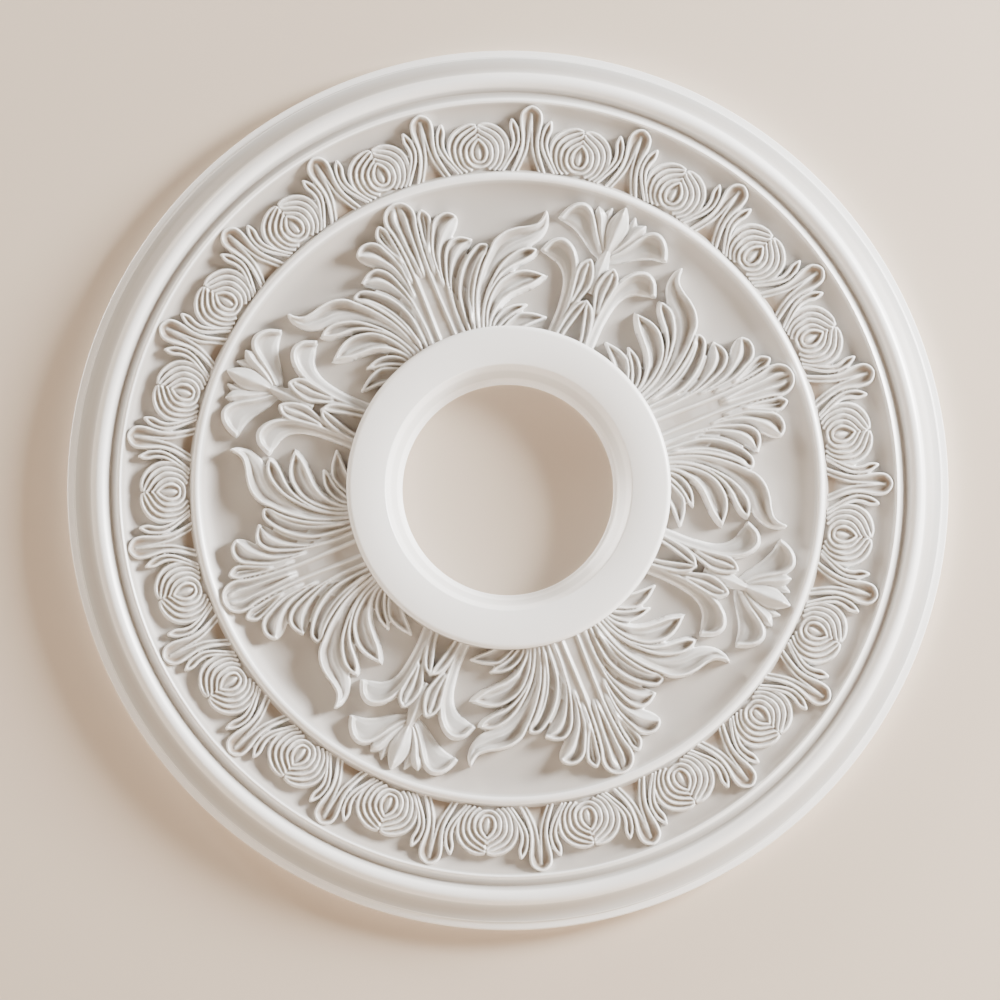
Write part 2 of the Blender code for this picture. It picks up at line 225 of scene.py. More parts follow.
def edge_distance(points, line):
    """Distance of each point to a line."""
    gaps = points.reshape(-1, 1, 2) - line.reshape(1, -1, 2)
    return np.sqrt((gaps**2).sum(2).min(1)).reshape(points.shape[:-1])


print("a line of", len(smooth_line([(0, 0), (1, 2), (3, 3)], 9)), "points")

# %% Grid laid in place and made solid
DEEP = 9.0                  # how far a stroke is extruded into the ground


def placed(plan, height):
    """Plan points and heights over the flat back as points of the part."""
    return np.stack([plan[..., 0] * MM, -height * MM, plan[..., 1] * MM], axis=-1)


def solid_grid(points):
    """Grid primitive moved to an array of points and extruded into the ground, so that it is closed."""
    rows, columns = points.shape[:2]
    deselect()
    bpy.ops.mesh.primitive_grid_add(x_subdivisions=columns - 1, y_subdivisions=rows - 1, size=1.0)
    ob = bpy.context.object
    co = np.empty(len(ob.data.vertices) * 3)
    ob.data.vertices.foreach_get("co", co)
    co = co.reshape(-1, 3)
    column = np.rint((co[:, 0] + 0.5) * (columns - 1)).astype(int)
    row = np.rint((co[:, 1] + 0.5) * (rows - 1)).astype(int)
    ob.data.vertices.foreach_set("co", points[row, column].ravel())
    bpy.ops.object.mode_set(mode="EDIT")
    bpy.ops.mesh.select_all(action="SELECT")
    bpy.ops.mesh.extrude_region_move(TRANSFORM_OT_translate={"value": (0, DEEP * MM, 0)})
    bpy.ops.mesh.select_all(action="SELECT")
    bpy.ops.mesh.remove_doubles(threshold=SAME)
    bpy.ops.mesh.normals_make_consistent(inside=False)
    bpy.ops.object.mode_set(mode="OBJECT")
    return ob


print("a stroke reaches", DEEP, "mm into the ground")

# %% Rims, ribs and sides of a stroke
FADE = 0.08                                 # share of the length in which a rib rises and ends
SHOULDER = ((0.3, 0.2), (0.56, 1.0))        # outside a rim: distance from it and drop
FOOT_H = -1.6                               # height over the ground at which a side ends
SIDE_COLUMNS = len(SHOULDER) + 1


def rim_lines(first, tip, second, pointed):
    """The two rims from root to tip, which meet in a point or go round the tip in one smooth line."""
    if pointed:
        return [smooth_line(list(line) + [tip], 120) for line in (first, second)]
    whole = smooth_line(list(first) + [tip] + list(second)[::-1], 360)
    cut = int(np.argmin(np.linalg.norm(whole - np.array(tip), axis=1)))
    return [whole[:cut + 1], whole[cut:][::-1]]


def rib_heights(ribs, along, across, chord):
    """Height that ribs add over a stroke; where two meet, the higher one counts."""
    risen = np.zeros((len(along), len(across)))
    for way, start, stop, rise, width in ribs:
        fade = np.clip(np.minimum(along - start, stop - along) / FADE, 0, 1)
        fade = fade * fade * (3 - 2 * fade)
        off = (across[None] - eased(way, along)[:, None]) * chord[:, None]
        risen = np.maximum(risen, rise * fade[:, None] * np.exp(-(off / width) ** 2))
    return risen


def side_columns(line, height, ahead, side, width, turn):
    """Columns outside a rim, as (plan, height): a shoulder made larger by turn, then a foot."""
    way = np.gradient(line, axis=0)
    way /= np.maximum(np.linalg.norm(way, axis=1, keepdims=True), 1e-9)
    normal = np.stack([-way[:, 1], way[:, 0]], axis=1) * side
    normal[-1] = ahead
    columns = [(out * turn, height - drop * turn) for out, drop in SHOULDER]
    columns.append((SHOULDER[-1][0] * turn + width, np.full(len(height), FOOT_H)))
    return [(line + normal * out, level) for out, level in columns]


print("each side of a stroke has", SIDE_COLUMNS, "columns")

# %% Stroke between two rims
ROWS, COLUMNS = 44, 23      # rows along a stroke and columns across it
TIP_ROWS = 1.35             # over 1, the rows lie closer together towards the tip
PLUMP = 0.3                 # how far the top of a rim stays level before it falls inward
ROUNDED = 1.5               # over 1, a rim falls steeply at first and then more gently
NARROW = 4.0                # a stroke without rims is hollowed less where it is narrower than this


def stroke(first, tip, second, crest, section=((0, 1.5), (1, 1.5)), amount=((0, 1), (1, 1)), rim=1.5,
           both=True, pointed=False, flank=(0.5, 0.5), ribs=(), ground=PANEL_H, inset=0.22, roll=1.0):
    """Lobe between two rims that run from root to tip.

    crest: height of the rims over the ground, by share of the length.
    section: drop below the rims, by share of the way across; amount scales it along the length.
    rim: distance from a rim in which that drop is reached; both: whether the second line has a rim.
    flank: width of the slope outside each line.
    ribs: (way across by share of the length, from, to, height, width) of each.
    inset: how far both lines are moved inward, which opens the slits between lobes.
    roll: how round the outside of the first rim is, and how far it is set in for that.
    """
    along = 1 - (1 - np.linspace(0, 1, ROWS)) ** TIP_ROWS
    a, b = (even(line, along) for line in rim_lines(first, tip, second, pointed))
    gap = b - a
    span = np.linalg.norm(gap, axis=1, keepdims=True)
    move = gap / np.maximum(span, 1e-9) * np.minimum(inset, span / 4)
    a, b = a + move * roll, b - move
    across = 0.5 - 0.5 * np.cos(np.pi * np.linspace(0, 1, COLUMNS - 2 * SIDE_COLUMNS))
    inner = a[:, None] * (1 - across[None, :, None]) + b[:, None] * across[None, :, None]
    chord = np.linalg.norm(b - a, axis=1)
    drop = eased(section, across)[None] * eased(amount, along)[:, None]
    if rim:
        edge = np.vstack([a, b if both else b[-3:]])
        inside = np.clip((edge_distance(inner, edge) - PLUMP) / rim, 0, 1)
        drop = drop * (1 - (1 - inside) ** ROUNDED)
    else:
        drop = drop * np.clip(chord / NARROW, 0, 1)[:, None] ** 0.8
    height = eased(crest, along)[:, None] - drop + rib_heights(ribs, along, across, chord)
    ahead = (a[-1] + b[-1]) / 2 - (a[-5] + b[-5]) / 2
    ahead = ahead / max(np.linalg.norm(ahead), 1e-9)
    columns = side_columns(a, height[:, 0], ahead, 1, flank[0], roll)[::-1]
    columns += [(inner[:, k], height[:, k]) for k in range(len(across))]
    columns += side_columns(b, height[:, -1], ahead, -1, flank[1], 1.0)
    plan = np.stack([place for place, _ in columns], axis=1)
    level = np.stack([h for _, h in columns], axis=1)
    return solid_grid(placed(plan, level + ground))


def mirrored(points):
    """The same line on the other side of the ornament's axis."""
    return [(-x, y) for x, y in points]


def both_sides(first, tip, second, *rest, **more):
    """A stroke on the right of an ornament's axis and its mirror image on the left."""
    return with_mirror(stroke(first, tip, second, *rest, **more))


print("a stroke has", ROWS, "rows and", COLUMNS, "columns")

# %% Ridges
ROUND = ((-1.9, 3.6), (-1.0, 1.7), (-0.72, 0.8), (-0.38, 0.2), (0, 0), (0.38, 0.2), (0.72, 0.8), (1.0, 1.7),
         (1.9, 3.6))        # section of a ridge: place across it in half widths, and drop in millimetres
LEANING = ((-1.5, 3.6), (-0.85, 1.9), (-0.55, 0.8), (-0.28, 0.15), (0, 0), (0.4, 0.3), (1.0, 0.75),
           (1.8, 1.4), (2.5, 2.1), (3.0, 3.6))


def ridge(path, half, crest, ground=PANEL_H, taper=0.75, section=ROUND):
    """Thin raised line along a path; a leaning one falls gently on the left of the path."""
    line = smooth_line(path, 60)
    way = np.gradient(line, axis=0)
    way /= np.linalg.norm(way, axis=1, keepdims=True)
    side = np.stack([-way[:, 1], way[:, 0]], axis=1)
    share = np.linspace(0, 1, len(line))
    wide = half * (1 - (1 - taper) * share**3)[:, None]
    plan = np.stack([line + side * wide * k for k, _ in section], axis=1)
    level = eased(crest, share)[:, None] - np.array([drop for _, drop in section])[None]
    return solid_grid(placed(plan, level + ground))


def with_mirror(ob):
    """An object and its mirror image on the other side of the ornament's axis."""
    other = bpy.data.objects.new(ob.name + "_left", ob.data.copy())
    bpy.context.scene.collection.objects.link(other)
    other.data.transform(Matrix.Scale(-1, 4, (1, 0, 0)))
    other.data.flip_normals()
    return [ob, other]


print("a ridge has", len(ROUND), "points across")

# %% [markdown]
# ## Fusing
# In the mould the strokes have no joins: they run into each other with small soft valleys. A voxel
# remesh gives just that. It keeps only the outer skin of all the strokes together, and a little
# smoothing rounds the valleys as a cast does. The skin is then cut flat just under the ground, and
# decimated, so that flat places have few faces and edges keep many.

# %% Fuse strokes into one ornament
VOXEL = 0.33                # mm, finest detail that a fused skin keeps
SINK = 0.2                  # how far below its ground an ornament is cut


def apply_modifier(ob, kind, **values):
    """A modifier with these values, applied at once."""
    mod = ob.modifiers.new(kind.lower(), kind)
    for key, value in values.items():
        setattr(mod, key, value)
    bpy.ops.object.modifier_apply(modifier=mod.name)


def fused(name, pieces, cut_h, keep):
    """One closed skin round overlapping strokes, cut flat at a height and thinned to a share."""
    pick(*pieces)
    bpy.ops.object.join()
    ob = bpy.context.object
    ob.name = name
    ob.data.name = name
    apply_modifier(ob, "REMESH", mode="VOXEL", voxel_size=VOXEL * MM, adaptivity=0.0)
    apply_modifier(ob, "SMOOTH", factor=0.5, iterations=1)
    bpy.ops.object.mode_set(mode="EDIT")
    bpy.ops.mesh.select_all(action="SELECT")
    bpy.ops.mesh.bisect(plane_co=(0, -cut_h * MM, 0), plane_no=(0, 1, 0), use_fill=True, clear_outer=True)
    bpy.ops.object.mode_set(mode="OBJECT")
    full = len(ob.data.polygons)
    apply_modifier(ob, "DECIMATE", decimate_type="COLLAPSE", ratio=keep, use_collapse_triangulate=True)
    bpy.ops.object.shade_smooth()
    print(name, "skin of", full, "faces thinned to", len(ob.data.polygons))
    return ob


print("voxels of", VOXEL, "mm")

# %% [markdown]
# ## Acanthus leaf
# Four big leaves stand round the hub. From the middle outward a leaf has a round crown, three lobes
# that lean away from it, and a wing of four more that sweep down to the hub, with two small leaflets
# at the end. All lobes start as narrow strips on the stalk, side by side, and part at notches.

# %% Rims of the leaf
RIB = ((0, 0.05), (0.4, 0.06), (0.7, 0.2), (1, 0.13))        # half gap of the crown's two ribs, by length
CROWN = [(4.2, 68), (3.9, 84), (3.7, 98), (3.8, 106), (4.2, 114), (4.9, 121), (5.8, 126.5), (6.9, 130.6),
         (6.7, 134), (5.2, 136.8), (2.9, 138.4)]
LOBES = {                   # right half, from the axis outward; points are (across, up) in millimetres
    "inner": dict(
        first=[(5.3, 97), (5.2, 102), (5.2, 107), (5.6, 114), (6.3, 120.5), (7.1, 125.5), (7.9, 129.6)],
        tip=(10.4, 131.9),
        second=[(6.1, 97), (6.2, 102), (6.5, 106), (7.2, 112.4), (8.6, 117), (10.4, 121), (12.1, 124.8),
                (12.8, 128.4)],
        crest=((0, 3.0), (0.25, 5.6), (0.8, 5.4), (1, 5.8)), section=((0, 3.2), (1, 3.2)),
        amount=((0, 0.2), (0.35, 0.6), (0.6, 1), (1, 1)),
        ribs=((((0, 0.52), (1, 0.5)), 0.4, 0.95, 1.8, 0.5),)),
    "middle": dict(
        first=[(6.4, 90), (6.7, 97), (7.2, 106), (8.0, 112.4), (9.6, 117), (11.5, 121), (13.3, 124.4),
               (15.6, 126.3), (18.8, 127), (21.6, 126.2)],
        tip=(23.7, 123.6),
        second=[(7.6, 90), (8.1, 94), (8.8, 100), (10.3, 105.6), (12.4, 110.2), (15.6, 113.6),
                (18.8, 116.2), (21.8, 118.8), (23.4, 121.2)],
        crest=((0, 3.2), (0.2, 5.6), (0.8, 6.0), (1, 6.0)), both=False,
        section=((0, 3.2), (0.3, 3.5), (0.62, 0.3), (1, 2.8)),
        amount=((0, 0.2), (0.4, 0.7), (0.65, 1), (1, 1))),
    "outer": dict(
        first=[(7.1, 69), (7.3, 80), (7.9, 88), (9.2, 97), (11.2, 104), (13.4, 109.6), (15.6, 112.6),
               (18.6, 114.5), (22.2, 114.2)],
        tip=(26.6, 111.2), pointed=True,
        second=[(8.9, 69), (8.9, 78), (8.7, 83.6), (9.3, 88), (10.7, 93), (13.4, 98.2), (16.8, 102.4),
                (20.4, 105.6), (24.2, 108.6)],
        crest=((0, 6.2), (0.4, 5.8), (0.8, 5.8), (1, 5.2)), both=False,
        section=((0, 2.8), (0.28, 3.3), (0.56, 0.4), (1, 3.2)),
        amount=((0, 0.1), (0.3, 0.6), (0.6, 1), (1, 0.9))),
    "shoulder": dict(
        first=[(9.8, 69), (10.4, 77), (11.0, 84), (12.0, 89.5), (13.8, 94), (16.6, 98.6), (20.4, 102.8),
               (25, 106.2), (29.2, 107.8)],
        tip=(32.2, 106.2),
        second=[(12.4, 69.5), (13.4, 74), (16, 82), (19.3, 89.5), (24.2, 97), (28.2, 101.4), (31, 103.6)],
        crest=((0, 6.6), (0.5, 6.6), (0.8, 6.4), (1, 5.8)), section=((0, 3.4), (0.4, 4.0), (1, 3.2)),
        amount=((0, 0.4), (0.3, 0.8), (0.5, 1), (1, 1)),
        ribs=((((0, 0.68), (1, 0.72)), 0.1, 0.96, 2.8, 0.7),)),
    "wing": dict(
        first=[(13.5, 69.5), (14.6, 74), (17.2, 82), (20.4, 88.8), (25.2, 95.6), (29.4, 100.4), (32.2, 103),
               (36.4, 106.8), (42, 108.6), (48, 108.2), (53, 106.9), (57.4, 106.6), (60.6, 108)],
        tip=(63, 110.2), pointed=True,
        second=[(14.6, 69.5), (16, 74), (19.2, 81), (23.6, 87.6), (29, 92.8), (35, 96.8), (41, 98.8),
                (46.5, 99.4), (51, 99), (56, 100.2), (60, 103), (62.6, 107)],
        crest=((0, 6.4), (0.4, 6.4), (0.7, 7.2), (0.9, 6.6), (1, 7.4)), rim=2.6, both=False,
        section=((0, 4.4), (0.5, 5.0), (0.8, 3.0), (1, 3.4)),
        amount=((0, 0.3), (0.3, 0.7), (0.6, 1), (1, 0.8)),
        ribs=((((0, 0.5), (1, 0.6)), 0.3, 0.9, 1.2, 0.9),)),
    "finger": dict(
        first=[(15.4, 69.5), (16.8, 74), (20.2, 80.6), (24.6, 86.6), (30, 91.8), (35.6, 95.8), (41, 97.9),
               (46, 98.6), (49.6, 97.8)],
        tip=(52, 95.8),
        second=[(16.4, 69.5), (17.8, 74), (20.4, 79.4), (23.4, 83.6), (27, 87), (30.6, 89.6), (34.4, 91.6),
                (40, 93), (45.5, 93.4), (49.8, 94.2)],
        crest=((0, 6.2), (0.5, 6.2), (0.8, 5.8), (1, 5.2)), section=((0, 3.0), (1, 3.0)), rim=1.5,
        amount=((0, 0.3), (0.3, 0.8), (0.5, 1), (1, 1)), flank=(0.5, 1.8)),
    "thumb": dict(
        first=[(17.4, 69.5), (19, 74), (21.4, 78.8), (24.4, 82.8), (28, 86.3), (31.4, 88.4), (35, 89.5),
               (39.6, 90), (43.6, 89.2), (47.2, 87.2)],
        tip=(51.2, 83.7), pointed=True,
        second=[(19, 69), (20.6, 72.6), (24.2, 76.6), (28.6, 79.8), (33.6, 81.4), (39, 81.8), (44.4, 82),
                (48.4, 82.8)],
        crest=((0, 6.0), (0.5, 6.2), (0.8, 5.8), (1, 4.8)), section=((0, 3.4), (0.5, 3.8), (1, 3.0)), rim=1.7,
        amount=((0, 0.3), (0.3, 0.8), (0.5, 1), (1, 1)), flank=(0.5, 2.2),
        ribs=((((0, 0.62), (1, 0.66)), 0.3, 0.9, 1.2, 0.8),)),
    "leaflet": dict(
        first=[(19.6, 68.5), (22, 72.2), (25.4, 74.8), (29.6, 76.2), (33.4, 76.3), (36.6, 75.4)],
        tip=(38.8, 74.4), pointed=True,
        second=[(20.6, 67.5), (24, 69.8), (28.6, 71.9), (33, 73), (36, 73.4)],
        crest=((0, 5.6), (0.6, 5.2), (1, 4.4)), section=((0, 2.8), (1, 2.8)), rim=1.2),
    "end_leaflet": dict(
        first=[(21.6, 66.5), (26, 69.2), (30, 71), (34, 71.9), (37.6, 70.9), (41, 69)],
        tip=(44.8, 65.8), pointed=True,
        second=[(23, 62), (28, 64), (34, 65.4), (39, 65.6), (42.4, 65.6)],
        crest=((0, 5.4), (0.6, 5.0), (1, 4.0)), section=((0, 2.8), (1, 2.8)), rim=1.4),
}
SEAMS = (                   # ridges laid into the narrow slits between lobes: path, half width, end height
    ([(4.4, 70), (4.5, 97), (4.7, 108), (5.3, 114.5), (6.3, 121), (7.3, 127.5)], 1.0, 4.2),
    ([(8.8, 70), (9.5, 82), (10.2, 88.5), (12.2, 93.6), (15, 98.3), (18.6, 102.6), (22.4, 105.8)], 0.85, 3.8),
    ([(13, 69), (14, 74), (16.6, 82), (19.9, 89.2), (24.7, 96.3), (28.8, 100.9), (31.4, 103.2)], 0.85, 4.6),
)
print(len(LOBES), "lobes to a side, and", len(SEAMS), "seams")

# %% Leaf
KEEP_LEAF = 0.25            # share of the skin's faces that is kept
LEVEL = ((0, 0), (1, 0))    # section without any drop


def leaf():
    """Crown and stalk on the axis, the other lobes twice, and what fills the slits between them."""
    pieces = [stroke(
        mirrored(CROWN), (0, 139), CROWN, crest=((0, 6.2), (0.45, 5.8), (0.8, 5.8), (1, 6.4)),
        section=((0, 3.4), (1, 3.4)), rim=1.7, amount=((0, 0.35), (0.4, 0.45), (0.7, 0.95), (1, 1.05)),
        ribs=[(tuple((t, 0.5 + side * q) for t, q in RIB), 0.45, 0.96, 3.0, 0.95) for side in (-1, 1)])]
    mound = [(17, 66), (19, 78), (16, 91), (10.5, 104), (7.5, 115)]
    pieces.append(stroke(mirrored(mound), (0, 124), mound, section=LEVEL, rim=0,
                         crest=((0, 3.8), (0.5, 3.5), (0.85, 2.9), (1, 2.0))))
    stalk = [(12, 66), (11.6, 76), (10.6, 87), (8.4, 98)]
    pieces.append(stroke(mirrored(stalk), (0, 113), stalk, section=LEVEL, rim=0,
                         crest=((0, 5.2), (0.6, 4.7), (1, 3.4))))
    for path, half, low in SEAMS:
        pieces += with_mirror(ridge(path, half, ((0, low + 0.6), (0.5, low + 0.4), (1, low))))
    for shape in LOBES.values():
        pieces += both_sides(**shape)
    return fused("leaf", pieces, cut_h=PANEL_H - SINK, keep=KEEP_LEAF)


leaf_master = leaf()

# %% [markdown]
# ## Lily
# Between two leaves stands a lily on a forked stalk. Its petals and the two leaves of the stalk curl:
# the far edge turns up into a bright roll, and the face below it dips and then fades into the panel.
# So these strokes have a rim on one side only, and a section that falls away from it.

# %% Strokes of the lily
CURL = ((0, 0.9), (0.14, 3.4), (0.4, 4.2), (0.75, 4.2), (1, 4.8))   # rolled edge, dip, falling face
SWELL = ((0, 0), (0.5, -1.0), (1, 0))                                # rounded across
ROLLED = dict(section=CURL, pointed=True, both=False, rim=1.2, roll=2.2, flank=(0.5, 1.0))
KEEP_LILY = 0.36            # share of the skin's faces that is kept


def lily():
    """Bud, three petals to each side of it, and the forked stalk with its curled leaves."""
    bud = [(0.8, 116.5), (2.3, 120.5), (3.8, 125.5), (4.1, 128.6), (3.2, 132.4), (1.6, 135.6)]
    pieces = [stroke(mirrored(bud), (0, 138), bud, crest=((0, 3.6), (0.5, 4.6), (1, 5.4)), rim=0, inset=0,
                     section=SWELL, amount=((0, 2), (1, 2.4)), pointed=True)]
    pieces += both_sides(
        first=[(2.0, 119), (3.7, 127), (4.5, 131)], tip=(5.7, 135.6),
        second=[(3.2, 119), (5.8, 126), (7.3, 130.4), (7.3, 133)],
        pointed=True, crest=((0, 1.6), (0.6, 3.0), (1, 3.8)), rim=0, section=SWELL)
    pieces += both_sides(
        first=[(1.4, 117), (3.3, 121), (5.2, 125.6), (6.5, 129.8), (8.2, 132.4)], tip=(11.4, 133.8),
        second=[(2.0, 116.6), (5.1, 120), (8.0, 124.2), (10.4, 128.4), (11.8, 131.4)], pointed=True,
        crest=((0, 3.4), (0.6, 4.4), (1, 5.2)), rim=0, section=SWELL, amount=((0, 1.5), (1, 1.5)))
    pieces += both_sides(
        first=[(2.4, 116), (4.9, 118.6), (8.2, 123), (11, 127.4), (14, 131), (17.6, 132.6), (21, 131.3),
               (23.7, 128)],
        tip=(25.5, 123.2),
        second=[(2.6, 112.6), (6.4, 114.2), (11, 117.2), (15.4, 120), (19.6, 121.8), (23, 122.4)],
        crest=((0, 3.6), (0.4, 5.4), (0.7, 6.8), (1, 6.0)),
        amount=((0, 0.4), (0.4, 0.8), (0.7, 1), (1, 0.9)), **ROLLED)
    pieces += both_sides(
        first=[(6.4, 69), (6.8, 80), (7.4, 90), (8.5, 98), (10.2, 104.2), (12.8, 109.2), (16.4, 112.8),
               (20.6, 114.2), (24.4, 112.2)],
        tip=(27.2, 106.4),
        second=[(10.8, 69), (10.4, 80), (10.9, 88), (12.3, 95.4), (14.9, 100.6), (18.7, 103.8), (23, 105)],
        crest=((0, 4.4), (0.4, 4.8), (0.75, 6.8), (1, 5.8)),
        amount=((0, 0.3), (0.4, 0.5), (0.7, 1), (1, 0.9)), **ROLLED)
    pieces += both_sides(
        first=[(6.4, 82), (4.6, 88.4), (2.9, 93.6), (1.5, 98.6), (1.7, 102.6), (3.2, 107)], tip=(5.6, 110),
        second=[(7.2, 82), (7.8, 88.6), (8.3, 94), (9.1, 99.4), (9.6, 104), (8.4, 107.8)],
        crest=((0, 4.4), (0.5, 6.0), (0.8, 6.6), (1, 6.8)), section=((0, 2.0), (1, 2.0)), rim=1.3,
        ribs=((((0, 0.6), (1, 0.52)), 0.2, 0.95, 2.0, 0.8),))
    neck = [(1.8, 96), (2.8, 103), (2.9, 108), (2.0, 112.6), (1.2, 116)]
    pieces.append(stroke(mirrored(neck), (0, 118.4), neck, crest=((0, 2.8), (0.6, 3.6), (1, 4.2)),
                         rim=0, section=SWELL, amount=((0, 2), (1, 1.6))))
    pieces += both_sides(
        first=[(4.4, 69), (4.0, 75), (2.5, 81.5), (0.9, 87.6)], tip=(0, 92),
        second=[(7.6, 69), (7.2, 75), (6.4, 81), (5.1, 86.2), (2.9, 90.2)],
        crest=((0, 5.2), (0.6, 5.8), (1, 6.6)), section=((0, 2.0), (1, 2.0)), rim=1.2, pointed=True)
    mound = [(8, 66), (7, 80), (4, 90), (2.6, 100)]
    pieces.append(stroke(mirrored(mound), (0, 108), mound, crest=((0, 1.4), (0.6, 1.4), (1, 0.4)),
                         section=LEVEL, rim=0))
    return fused("lily", pieces, cut_h=PANEL_H - SINK, keep=KEEP_LILY)


lily_master = lily()

# %% [markdown]
# ## Band of buds
# The band repeats one unit: a rose bud seen from the side, whose petals are nested rings that meet at
# a cleft, then a hollow tongue with a leaflet on each side. Petal edges are thin and overlap like roof
# tiles, so each is a leaning ridge: steep on the bud's outside, and gentle towards its heart.

# %% Bud
PETAL_HALF = 0.8            # half width of a petal's edge
PETALS = (                  # edge of each petal of a bud, right half, outermost first
    [(8.4, 144.4), (11.7, 148.4), (13.4, 153.2), (13.3, 158), (11.2, 162.3), (7.4, 165.2), (3.4, 166.3),
     (0.5, 165.9)],
    [(6.2, 144.8), (9.3, 148.2), (10.9, 152.8), (10.8, 157.2), (8.8, 160.9), (5.4, 163.4), (2.2, 164.9),
     (0.3, 165.4)],
    [(3.9, 145.4), (7.0, 148.4), (8.5, 152.6), (8.3, 156.4), (6.4, 159.6), (3.6, 161.8), (1.2, 163.3),
     (0.2, 164.4)],
    [(-0.4, 146.6), (2.7, 147.2), (5.3, 149.8), (6.0, 153.4), (5.2, 156.8), (3.0, 159.2), (0.8, 160.8),
     (0, 161.8)],
    [(-0.3, 149.0), (1.6, 149.3), (3.1, 151.3), (3.4, 154), (2.5, 156.6), (0.8, 158.6), (-0.1, 159.4)],
)


def bud():
    """Low dome, heart and nested petals of a rose bud."""
    dome = [(9, 142.5), (12.4, 148.6), (13.4, 155), (12, 161), (7.4, 164.6)]
    heart = [(0.8, 150.3), (1.5, 151.8), (1.5, 153.8), (0.8, 156)]
    pieces = [stroke(mirrored(dome), (0, 165), dome, crest=((0, 0.6), (0.5, 1.2), (1, 1.0)), ground=BAND_H,
                     rim=0, section=SWELL),
              stroke(mirrored(heart), (0, 157.6), heart, crest=((0, 3.0), (1, 3.0)), ground=BAND_H,
                     rim=0, inset=0, section=SWELL, amount=((0, 1.6), (1, 1)))]
    for k, path in enumerate(PETALS):
        crest = ((0, 2.6 + 0.3 * k), (0.5, 3.8 + 0.3 * k), (1, 4.0 + 0.2 * k))
        innermost = k == len(PETALS) - 1
        pieces += with_mirror(ridge(path, PETAL_HALF, crest, BAND_H, section=ROUND if innermost else LEANING))
    return pieces


print(len(PETALS), "petals to each side of a bud")

# %% Tongue and leaflets
RIB_HALF = 0.75             # half width of the tongue's two ribs


def tongue():
    """Hollow tongue with two ribs, and a leaflet on each side of it."""
    edge = [(7.8, 143.6), (5.7, 149), (4.1, 154), (3.7, 159), (4.3, 164), (4.8, 168), (4.3, 171.2),
            (2.4, 173.3)]
    pieces = [stroke(mirrored(edge), (0, 174.1), edge, ground=BAND_H, section=((0, 2.6), (1, 2.6)),
                     crest=((0, 2.4), (0.3, 3.8), (0.75, 4.6), (1, 4.8)),
                     amount=((0, 0.8), (0.7, 1), (1, 0.75)))]
    pieces += with_mirror(ridge([(5.2, 144.4), (3.1, 149.4), (1.3, 155), (0.6, 161), (0.2, 171)], RIB_HALF,
                                ((0, 2.0), (0.4, 3.2), (0.8, 3.6), (1, 3.0)), BAND_H))
    return pieces + both_sides(
        first=[(11.4, 144.2), (8.7, 149), (6.4, 153.4), (5.1, 157.8), (5.3, 161.4), (6.4, 164.8)],
        tip=(8.9, 167.7),
        second=[(13.4, 144.4), (10.7, 149.2), (8.8, 153.2), (7.8, 157.2), (8.2, 160.6), (9.4, 164.2)],
        crest=((0, 2.6), (0.5, 3.8), (1, 4.2)), section=((0, 2.2), (1, 2.2)), rim=1.0, ground=BAND_H,
        flank=(0.4, 0.4))


print("the tongue's ribs are", 2 * RIB_HALF, "mm wide")

# %% Unit of the band
BUDS = 21
KEEP_BAND, BAND_SINK = 0.19, 0.3        # share of faces kept, and how far below the band it is cut


def band_unit():
    """Bud on its own axis, and a tongue half a step further round."""
    pieces, turned = bud(), tongue()
    for ob in turned:
        ob.data.transform(Matrix.Rotation(math.pi / BUDS, 4, "Y"))
    return fused("band_unit", pieces + turned, cut_h=BAND_H - BAND_SINK, keep=KEEP_BAND)


unit_master = band_unit()
print("band of", BUDS, "units:", BUDS * len(unit_master.data.polygons), "faces")

# %% [markdown]
# ## Copies round the rose
# Every ornament was made pointing up, at its own distance from the centre, so a copy only has to be
# turned round the Y axis. The turn goes into the mesh, and the objects stay at the origin.

# %% Place the ornaments
LEAVES, ARCS = 4, 3         # the band is kept in arcs, so that no piece grows too heavy
LEAF_ANGLE, LILY_ANGLE, BUD_ANGLE = 22.0, 67.3, 9.3         # degrees from +X to the first of each
MADE_AT = 90.0              # an ornament is made pointing up


def spun(master, name, count, first_angle):
    """Copies of an ornament, the first with its axis at an angle from +X, and the original removed."""
    made = []
    for k in range(count):
        turn = math.radians(first_angle - MADE_AT + 360.0 / count * k)
        ob = bpy.data.objects.new(f"{name}_{k + 1}", master.data.copy())
        ob.data.transform(Matrix.Rotation(-turn, 4, "Y"))
        bpy.context.scene.collection.objects.link(ob)
        made.append(ob)
    bpy.data.objects.remove(master, do_unlink=True)
    return made


leaves = spun(leaf_master, "leaf", LEAVES, LEAF_ANGLE)
lilies = spun(lily_master, "lily", LEAVES, LILY_ANGLE)
units = spun(unit_master, "bud_and_tongue", BUDS, BUD_ANGLE)
arcs = []
for k in range(ARCS):
    pick(*units[k * BUDS // ARCS:(k + 1) * BUDS // ARCS])
    bpy.ops.object.join()
    bpy.context.object.name = f"band_arc_{k + 1}"
    arcs.append(bpy.context.object)
carvings = leaves + lilies + arcs
print(len(leaves), "leaves,", len(lilies), "lilies, arcs of", len(arcs[0].data.polygons), "faces")

# %% [markdown]
# ## White skin
# The casting comes out of its mould white and is sprayed with a white primer: satin, a little soft in
# the hollows, where spray gathers, and with a fine skin. The tone group paints shade into the hollows and
# a highlight onto the crests, and adds a faint unevenness; the skin group gives the height of the fine
# grain. Both are used by two materials, one for the turned rings and one for the carving.

# %% Hollows as an attribute
OWN = 0.4                   # share of its own place that a point keeps in each round of averaging


